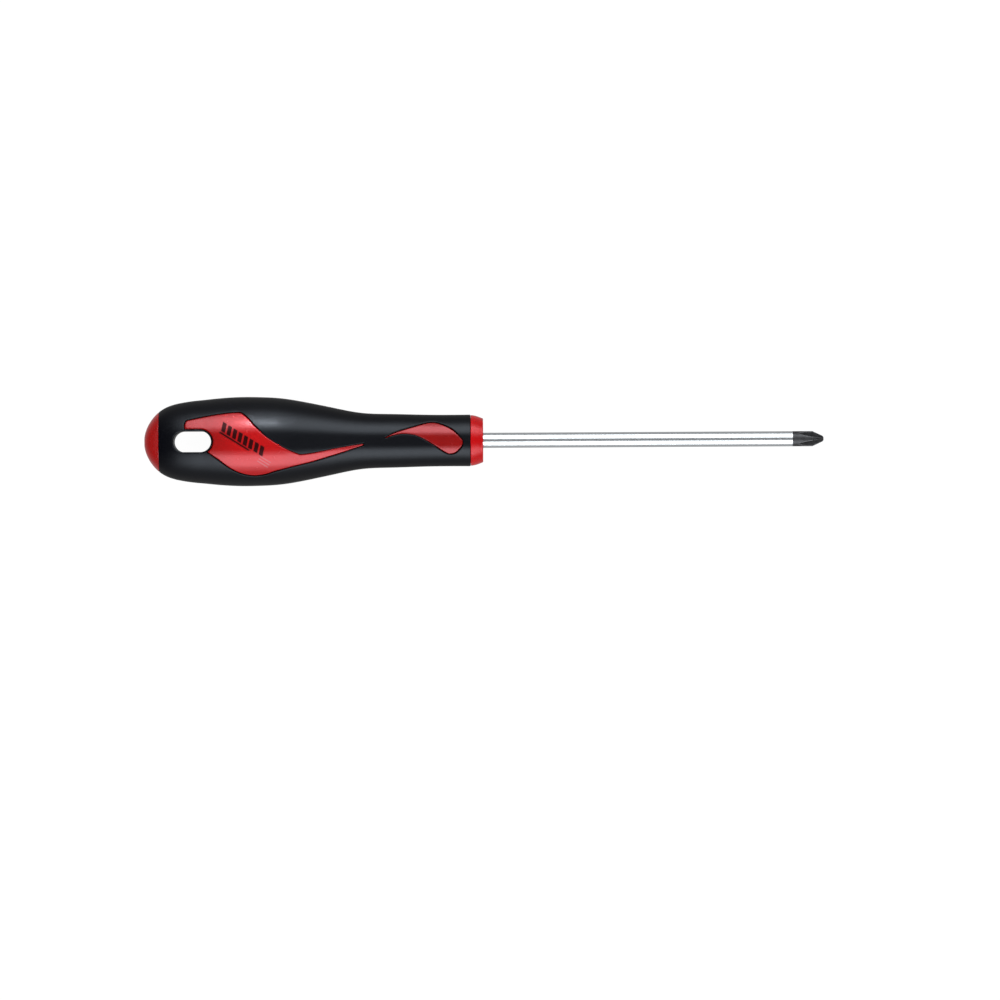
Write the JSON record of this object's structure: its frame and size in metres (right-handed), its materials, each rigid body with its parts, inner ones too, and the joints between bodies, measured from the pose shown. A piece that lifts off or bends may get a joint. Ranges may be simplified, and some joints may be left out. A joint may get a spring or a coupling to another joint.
{
  "type": "screwdriver",
  "caption": "Cross-head screwdriver with a slim chromed blade, a black tip and a soft-gripped two-colour handle with a hanging slot.",
  "frame": {"origin": "on the blade's axis, midway between the rear end of the handle and the end of the tip", "axes": "+X along the blade towards the tip, +Z along the hanging slot, +Y to the left of the tip when seen from above"},
  "size_m": [0.1996, 0.0262, 0.0256],
  "materials": {
    "chromed_steel": "bright chrome plating, blackened over the last 9 mm",
    "core_plastic": "matt, as moulded",
    "red_plastic": "satin gloss",
    "black_rubber": "fine moulded grain, satin"
  },
  "bodies": {
    "root": {"blade": "chromed_steel", "core": "core_plastic", "body": "red_plastic", "end_cap": "red_plastic", "soft_grip": "black_rubber"}
  },
  "joints": []
}
